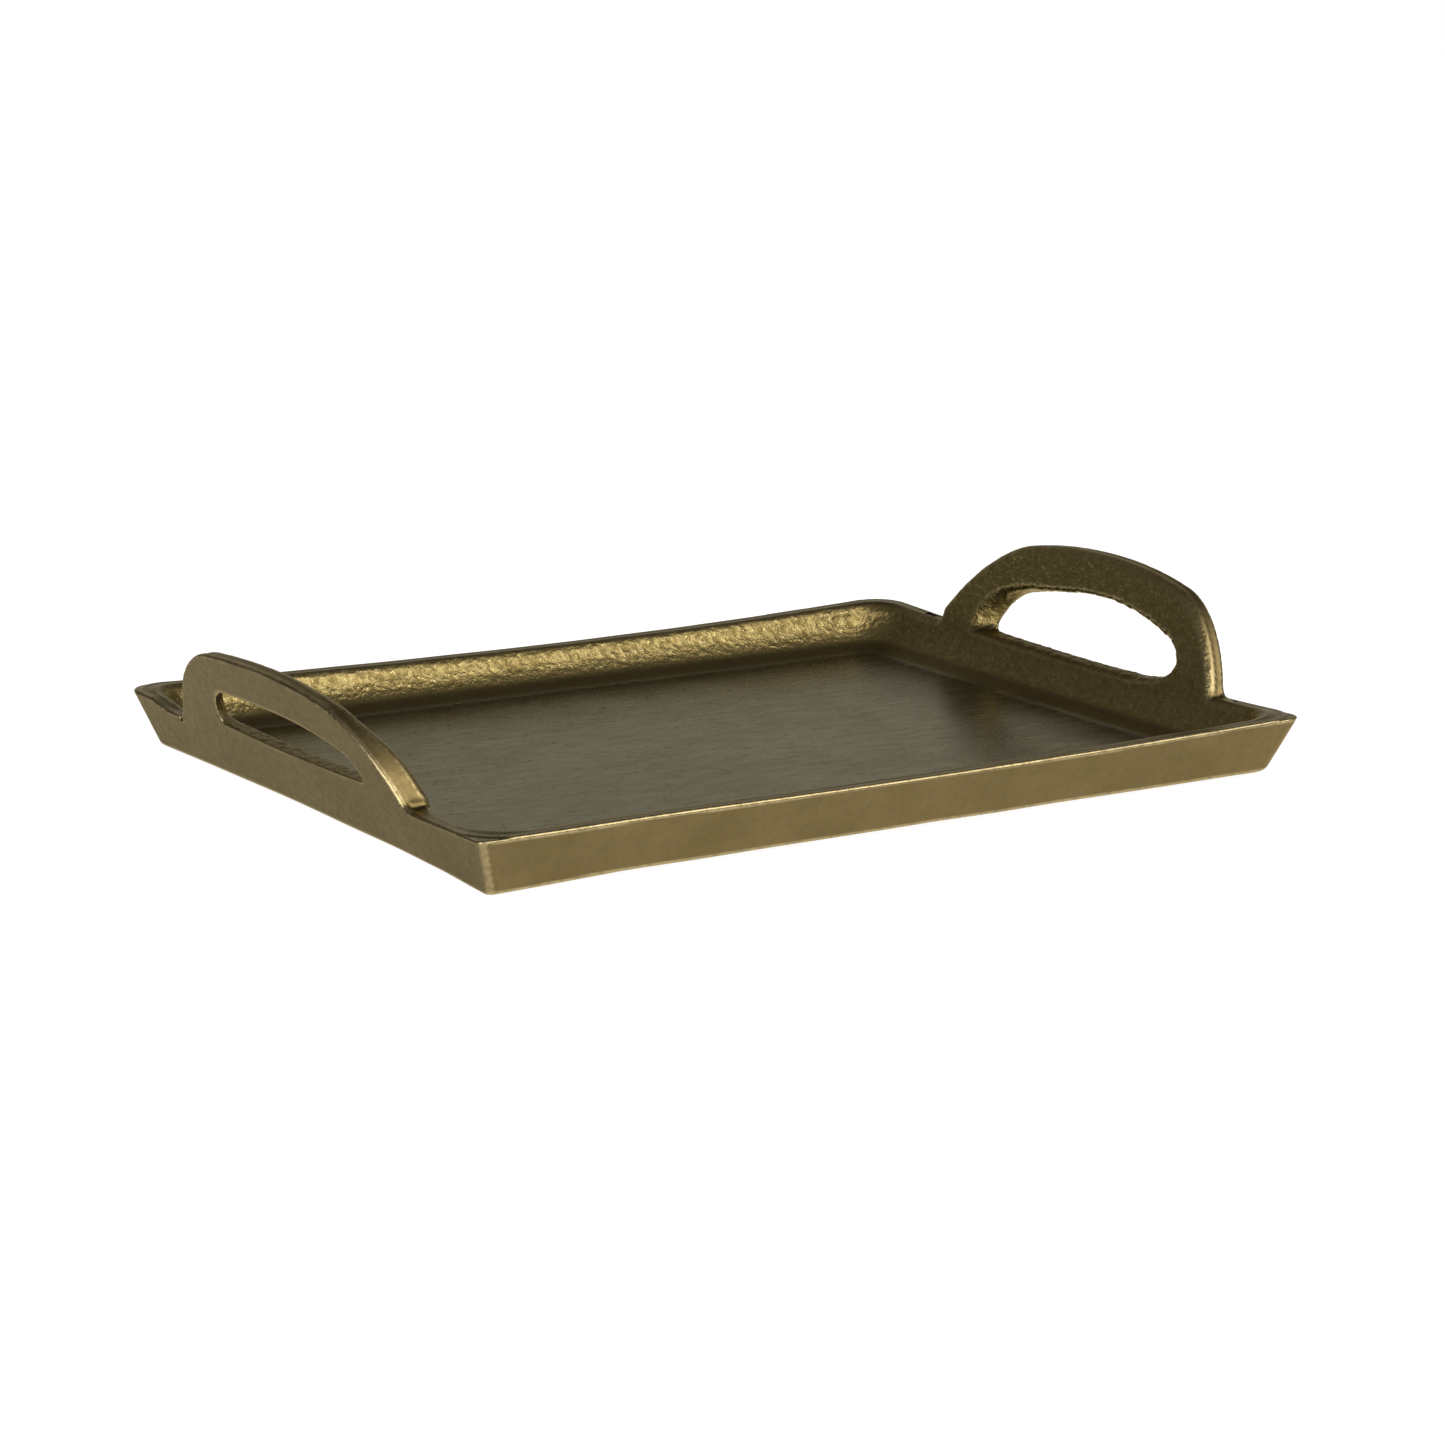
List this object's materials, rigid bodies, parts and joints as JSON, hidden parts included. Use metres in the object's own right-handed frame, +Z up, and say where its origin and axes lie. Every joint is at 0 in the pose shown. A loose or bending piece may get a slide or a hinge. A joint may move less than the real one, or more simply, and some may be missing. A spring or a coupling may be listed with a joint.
{
  "type": "serving tray",
  "caption": "Shallow rectangular cast brass tray with leaning walls, a coved well and an arched cut-out handle rising from each end wall.",
  "frame": {"origin": "centre of the tray on the surface that it stands on, at the underside of its four pads", "axes": "+X along the tray's length towards the right handle, +Y across its width towards the back wall, +Z up"},
  "size_m": [0.3442, 0.238, 0.052],
  "materials": {
    "cast_brass": "as-cast satin, dark olive in the well, brighter gold on worn edges",
    "felt": "matte dark felt"
  },
  "bodies": {
    "root": {"tray_pan": "cast_brass", "handle_left": "cast_brass", "handle_right": "cast_brass", "foot_pad_front_left": "felt", "foot_pad_front_right": "felt", "foot_pad_back_left": "felt", "foot_pad_back_right": "felt"}
  },
  "joints": []
}
